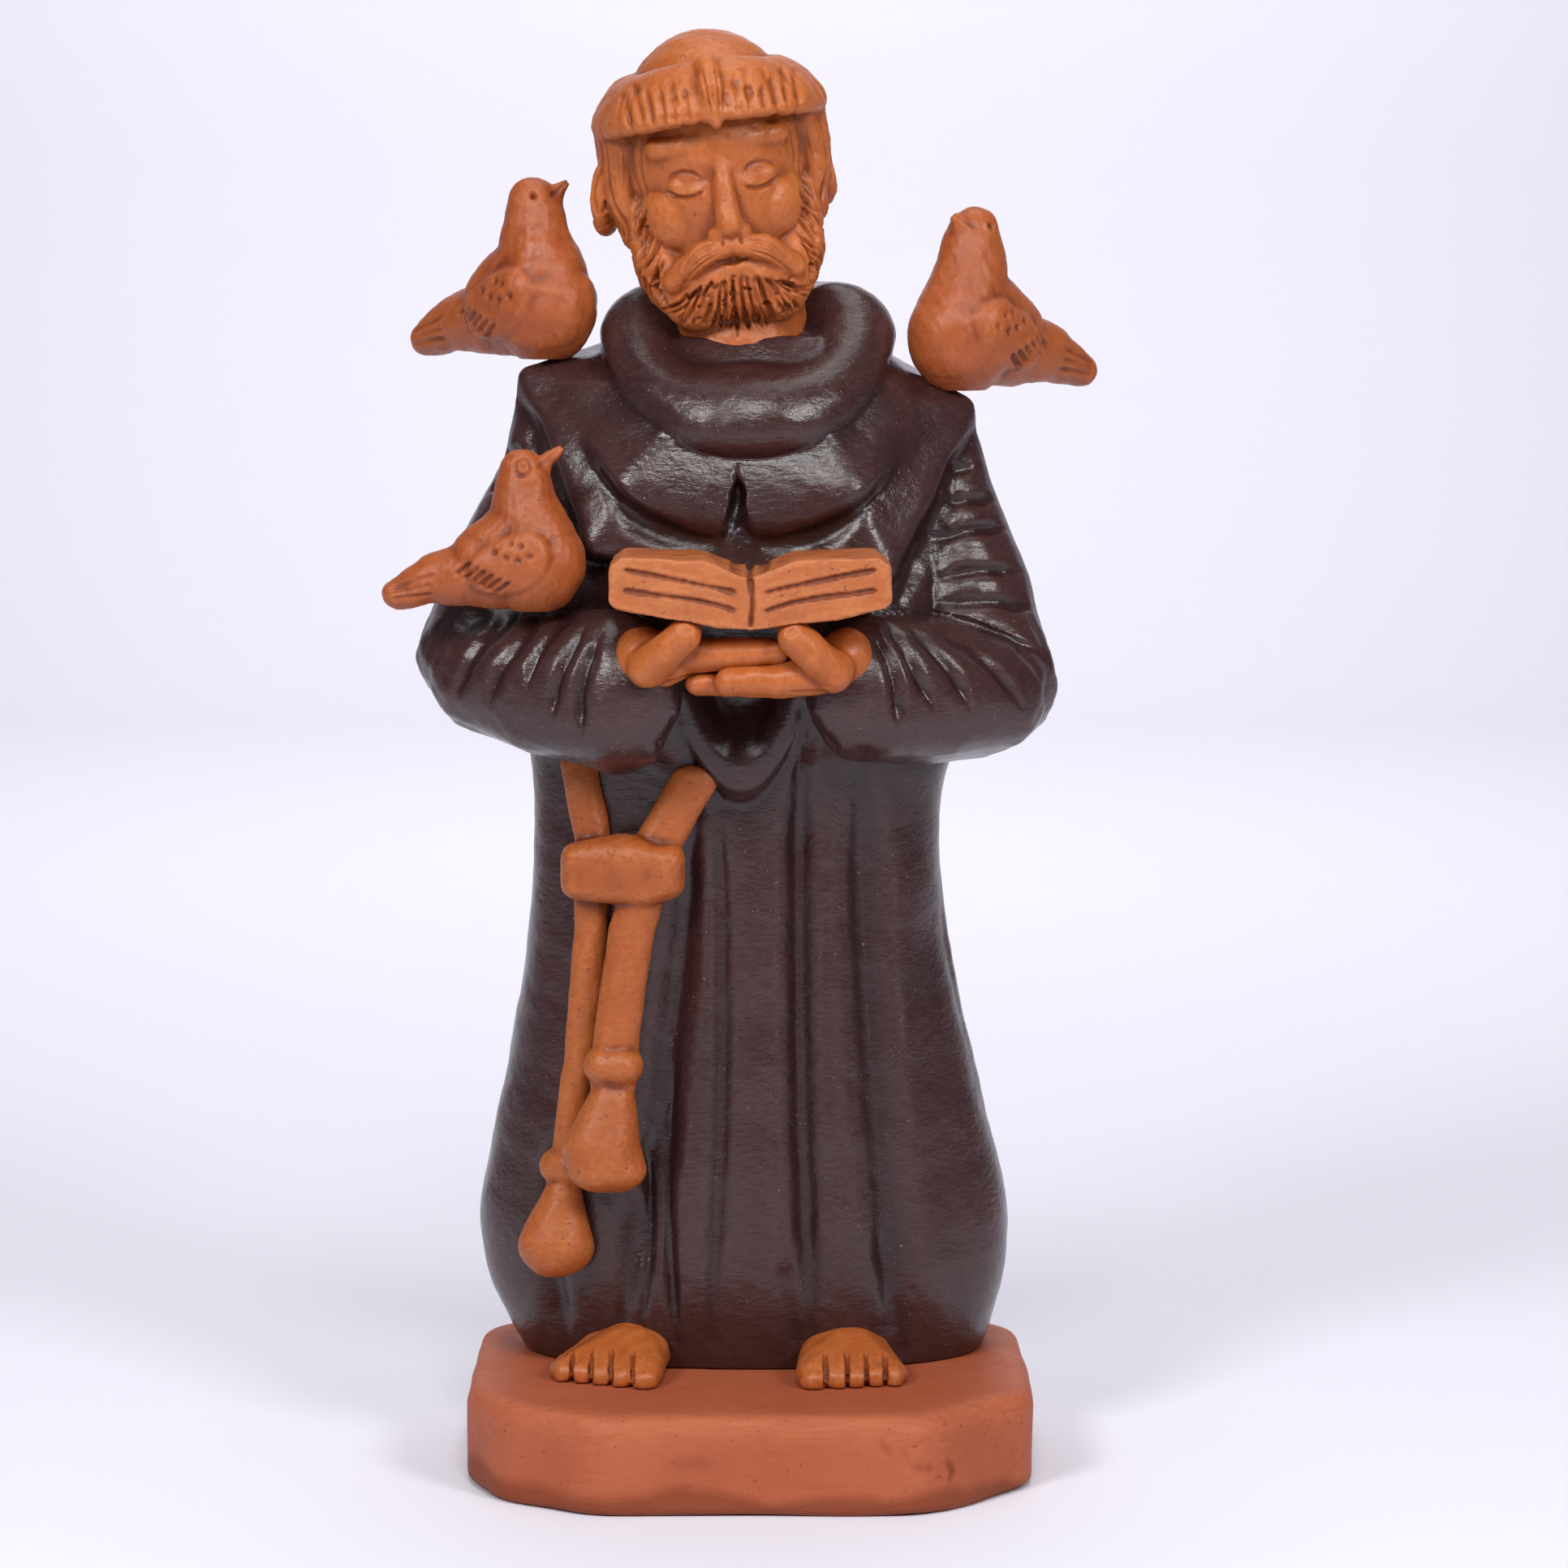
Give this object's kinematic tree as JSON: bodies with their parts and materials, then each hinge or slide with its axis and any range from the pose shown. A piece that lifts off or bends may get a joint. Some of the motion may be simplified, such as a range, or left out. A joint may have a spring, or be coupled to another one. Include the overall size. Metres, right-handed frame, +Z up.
{
  "type": "saint francis statue",
  "caption": "Standing figure of a bearded friar in a hooded habit with a knotted cord, holding an open book, with birds on both shoulders and the right forearm, on a slab base.",
  "frame": {"origin": "middle of the slab's flat underside", "axes": "+Z up; the figure faces -Y; +X is the viewer's right, which is the figure's left"},
  "size_m": [0.1741, 0.113, 0.3501],
  "materials": {
    "habit_paint": "satin dark brown brushed paint over fired clay",
    "clay_orange_paint": "semi-matt orange-brown paint over fired clay",
    "bird_clay_paint": "semi-matt red-brown paint over fired clay",
    "base_clay_paint": "matt pinkish clay paint"
  },
  "bodies": {
    "root": {"base": "base_clay_paint", "figure": "habit_paint", "book": "clay_orange_paint", "bird_on_right_shoulder": "bird_clay_paint", "bird_on_left_shoulder": "bird_clay_paint", "bird_on_forearm": "bird_clay_paint"}
  },
  "joints": []
}
